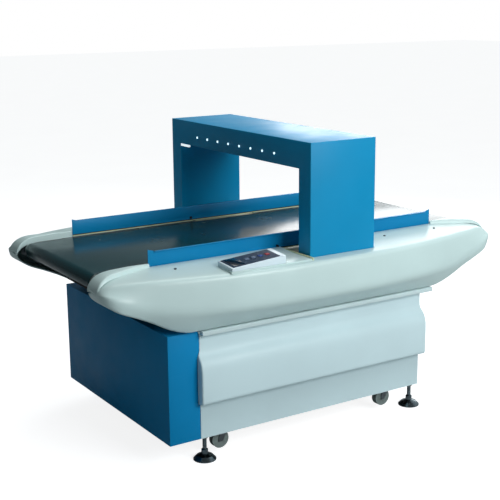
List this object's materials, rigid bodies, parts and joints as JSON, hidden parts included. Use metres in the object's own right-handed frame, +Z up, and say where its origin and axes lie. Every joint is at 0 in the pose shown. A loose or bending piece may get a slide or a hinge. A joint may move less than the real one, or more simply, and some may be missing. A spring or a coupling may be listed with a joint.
{
  "type": "conveyor metal detector",
  "caption": "Belt conveyor on a panelled cabinet base with an arch-shaped metal detection head over the belt, guide rails and boat-shaped side covers.",
  "frame": {"origin": "on the floor, under the centre of the overall box", "axes": "+X the way the belt carries goods, -Y the operator's side, +Z up"},
  "size_m": [1.84, 1.196, 1.182],
  "materials": {
    "belt": "satin",
    "roller_metal": "satin",
    "bed_steel": "brushed",
    "head_blue": "gloss",
    "rail_blue": "gloss",
    "cabinet_blue": "satin",
    "head_core": "matte",
    "cover_white": "gloss",
    "panel_white": "satin",
    "deck_white": "satin",
    "screw_steel": "satin",
    "lamp_lens": "gloss",
    "light_lens": "gloss",
    "eye_black": "matte",
    "fascia": "satin",
    "display": "gloss",
    "key_grey": "matte",
    "key_blue": "matte",
    "key_red": "matte",
    "frame_paint": "satin",
    "unit_grey": "matte",
    "plate_zinc": "satin",
    "motor_grey": "satin",
    "chain_steel": "oiled",
    "foot_chrome": "gloss",
    "fork_steel": "satin",
    "caster_tyre": "matte"
  },
  "bodies": {
    "frame": {"belt": "belt", "front_bed_plate": "bed_steel", "rear_bed_plate": "bed_steel", "slider_bed": "bed_steel", "cross_members": "bed_steel", "bed_stands": "bed_steel", "drive_bearings": "bed_steel", "belly_pans": "bed_steel", "arch_shell": "head_blue", "front_guide_rail": "rail_blue", "rear_guide_rail": "rail_blue", "infeed_cabinet": "cabinet_blue", "lower_detector_head": "head_core", "upper_coil": "head_core", "front_side_cover": "cover_white", "rear_side_cover": "cover_white", "front_side_panel": "panel_white", "rear_side_panel": "panel_white", "base_deck": "deck_white", "outfeed_end_panel": "deck_white", "control_box": "deck_white", "cover_screws": "screw_steel", "indicator_lamps": "lamp_lens", "tunnel_light": "light_lens", "photo_eyes": "eye_black", "mains_inlet": "eye_black", "control_fascia": "fascia", "display_window": "display", "base_frame": "frame_paint", "detector_unit": "unit_grey", "motor_inverter": "unit_grey", "electrics_plate": "plate_zinc", "foot_lock_nuts": "plate_zinc", "caster_plates": "plate_zinc", "gearmotor": "motor_grey", "drive_chain": "chain_steel"},
    "take_up": {"tail_take_ups": "bed_steel"},
    "tail": {"tail_roller": "roller_metal"},
    "drive": {"drive_roller": "roller_metal", "roller_sprocket": "chain_steel"},
    "motor_output": {"motor_sprocket": "chain_steel"},
    "infeed_return": {"infeed_return_roller": "roller_metal"},
    "outfeed_return": {"outfeed_return_roller": "roller_metal"},
    "up_key_body": {"up_key": "key_grey"},
    "down_key_body": {"down_key": "key_grey"},
    "set_key_body": {"set_key": "key_blue"},
    "stop_key_body": {"stop_key": "key_red"},
    "rocker": {"power_rocker": "key_red"},
    "front_infeed_foot_body": {"front_infeed_foot": "foot_chrome"},
    "front_infeed_fork_body": {"front_infeed_caster_fork": "fork_steel"},
    "front_infeed_wheel_body": {"front_infeed_caster_wheel": "caster_tyre"},
    "front_outfeed_foot_body": {"front_outfeed_foot": "foot_chrome"},
    "front_outfeed_fork_body": {"front_outfeed_caster_fork": "fork_steel"},
    "front_outfeed_wheel_body": {"front_outfeed_caster_wheel": "caster_tyre"},
    "rear_infeed_foot_body": {"rear_infeed_foot": "foot_chrome"},
    "rear_infeed_fork_body": {"rear_infeed_caster_fork": "fork_steel"},
    "rear_infeed_wheel_body": {"rear_infeed_caster_wheel": "caster_tyre"},
    "rear_outfeed_foot_body": {"rear_outfeed_foot": "foot_chrome"},
    "rear_outfeed_fork_body": {"rear_outfeed_caster_fork": "fork_steel"},
    "rear_outfeed_wheel_body": {"rear_outfeed_caster_wheel": "caster_tyre"}
  },
  "joints": [
    {"name": "belt_take_up", "type": "slide", "parent": "frame", "child": "take_up", "axis": [1, 0, 0], "range_m": [0, 0.015]},
    {"name": "tail_roller_spin", "type": "hinge", "parent": "take_up", "child": "tail", "pos_m": [-0.866, 0, 0.72], "axis": [0, 1, 0], "continuous": true},
    {"name": "drive_roller_spin", "type": "hinge", "parent": "frame", "child": "drive", "pos_m": [0.846, 0, 0.72], "axis": [0, 1, 0], "continuous": true},
    {"name": "motor_output_spin", "type": "hinge", "parent": "frame", "child": "motor_output", "pos_m": [0.63, 0, 0.615], "axis": [0, 1, 0], "continuous": true},
    {"name": "infeed_return_spin", "type": "hinge", "parent": "frame", "child": "infeed_return", "pos_m": [-0.4, 0, 0.6697], "axis": [0, 1, 0], "continuous": true},
    {"name": "outfeed_return_spin", "type": "hinge", "parent": "frame", "child": "outfeed_return", "pos_m": [0.4, 0, 0.6697], "axis": [0, 1, 0], "continuous": true},
    {"name": "up_key_press", "type": "slide", "parent": "frame", "child": "up_key_body", "axis": [0, 0, -1], "range_m": [0, 0.0012], "stiffness_N_per_m": 600},
    {"name": "down_key_press", "type": "slide", "parent": "frame", "child": "down_key_body", "axis": [0, 0, -1], "range_m": [0, 0.0012], "stiffness_N_per_m": 600},
    {"name": "set_key_press", "type": "slide", "parent": "frame", "child": "set_key_body", "axis": [0, 0, -1], "range_m": [0, 0.0012], "stiffness_N_per_m": 600},
    {"name": "stop_key_press", "type": "slide", "parent": "frame", "child": "stop_key_body", "axis": [0, 0, -1], "range_m": [0, 0.0012], "stiffness_N_per_m": 600},
    {"name": "power_rocker_tilt", "type": "hinge", "parent": "frame", "child": "rocker", "pos_m": [0.5335, 0.265, 0.18], "axis": [0, 1, 0], "range_deg": [0, 22]},
    {"name": "front_infeed_foot_level", "type": "slide", "parent": "frame", "child": "front_infeed_foot_body", "axis": [0, 0, -1], "range_m": [0, 0.02]},
    {"name": "front_infeed_caster_swivel", "type": "hinge", "parent": "frame", "child": "front_infeed_fork_body", "pos_m": [-0.4, -0.405, 0.12], "axis": [0, 0, 1], "continuous": true},
    {"name": "front_infeed_wheel_spin", "type": "hinge", "parent": "front_infeed_fork_body", "child": "front_infeed_wheel_body", "pos_m": [-0.428, -0.405, 0.057], "axis": [0, 1, 0], "continuous": true},
    {"name": "front_outfeed_foot_level", "type": "slide", "parent": "frame", "child": "front_outfeed_foot_body", "axis": [0, 0, -1], "range_m": [0, 0.02]},
    {"name": "front_outfeed_caster_swivel", "type": "hinge", "parent": "frame", "child": "front_outfeed_fork_body", "pos_m": [0.4, -0.405, 0.12], "axis": [0, 0, 1], "continuous": true},
    {"name": "front_outfeed_wheel_spin", "type": "hinge", "parent": "front_outfeed_fork_body", "child": "front_outfeed_wheel_body", "pos_m": [0.372, -0.405, 0.057], "axis": [0, 1, 0], "continuous": true},
    {"name": "rear_infeed_foot_level", "type": "slide", "parent": "frame", "child": "rear_infeed_foot_body", "axis": [0, 0, -1], "range_m": [0, 0.02]},
    {"name": "rear_infeed_caster_swivel", "type": "hinge", "parent": "frame", "child": "rear_infeed_fork_body", "pos_m": [-0.4, 0.405, 0.12], "axis": [0, 0, 1], "continuous": true},
    {"name": "rear_infeed_wheel_spin", "type": "hinge", "parent": "rear_infeed_fork_body", "child": "rear_infeed_wheel_body", "pos_m": [-0.428, 0.405, 0.057], "axis": [0, 1, 0], "continuous": true},
    {"name": "rear_outfeed_foot_level", "type": "slide", "parent": "frame", "child": "rear_outfeed_foot_body", "axis": [0, 0, -1], "range_m": [0, 0.02]},
    {"name": "rear_outfeed_caster_swivel", "type": "hinge", "parent": "frame", "child": "rear_outfeed_fork_body", "pos_m": [0.4, 0.405, 0.12], "axis": [0, 0, 1], "continuous": true},
    {"name": "rear_outfeed_wheel_spin", "type": "hinge", "parent": "rear_outfeed_fork_body", "child": "rear_outfeed_wheel_body", "pos_m": [0.372, 0.405, 0.057], "axis": [0, 1, 0], "continuous": true}
  ],
  "couplings": [
    {"joint": "tail_roller_spin", "follows": "drive_roller_spin", "ratio": 1},
    {"joint": "motor_output_spin", "follows": "drive_roller_spin", "ratio": 1},
    {"joint": "infeed_return_spin", "follows": "drive_roller_spin", "ratio": -1.335},
    {"joint": "outfeed_return_spin", "follows": "drive_roller_spin", "ratio": -1.335}
  ]
}
